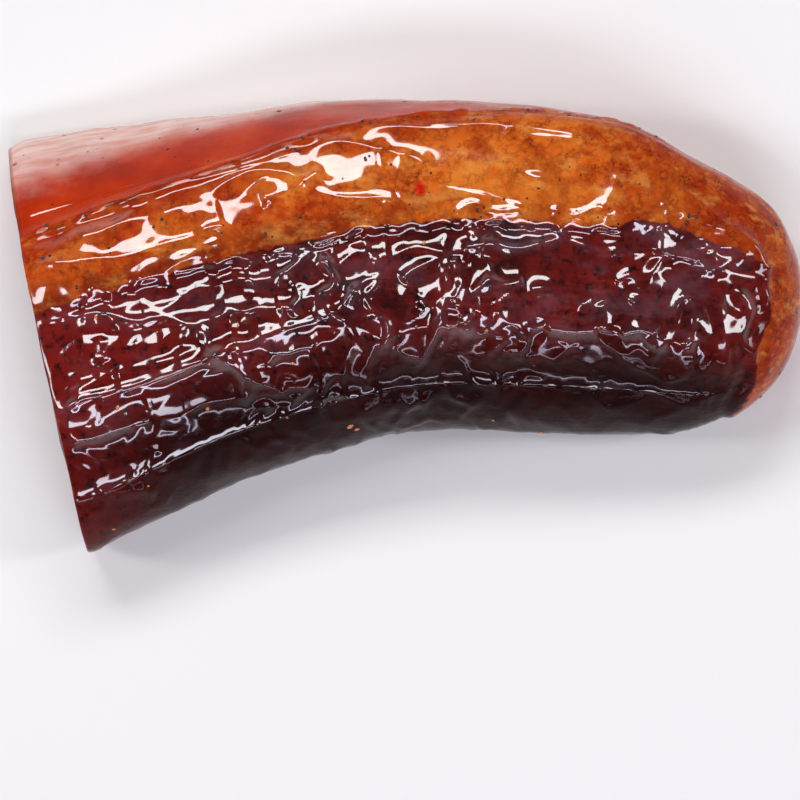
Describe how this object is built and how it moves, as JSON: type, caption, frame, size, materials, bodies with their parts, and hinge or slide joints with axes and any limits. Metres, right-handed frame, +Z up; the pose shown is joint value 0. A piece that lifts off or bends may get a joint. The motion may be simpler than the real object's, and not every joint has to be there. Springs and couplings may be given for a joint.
{
  "type": "smoked bacon slab",
  "caption": "Arched slab of smoked bacon with rind and fat cap along one long side, square-cut at one end and rounded at the other.",
  "frame": {"origin": "on the surface the slab rests on, under the middle of its bounding box", "axes": "+X from the cut end to the rounded end, +Y towards the rind, +Z up off the table"},
  "size_m": [0.2008, 0.1154, 0.0476],
  "materials": {
    "smoked_meat": "gloss"
  },
  "bodies": {
    "root": {"bacon_slab": "smoked_meat"}
  },
  "joints": []
}
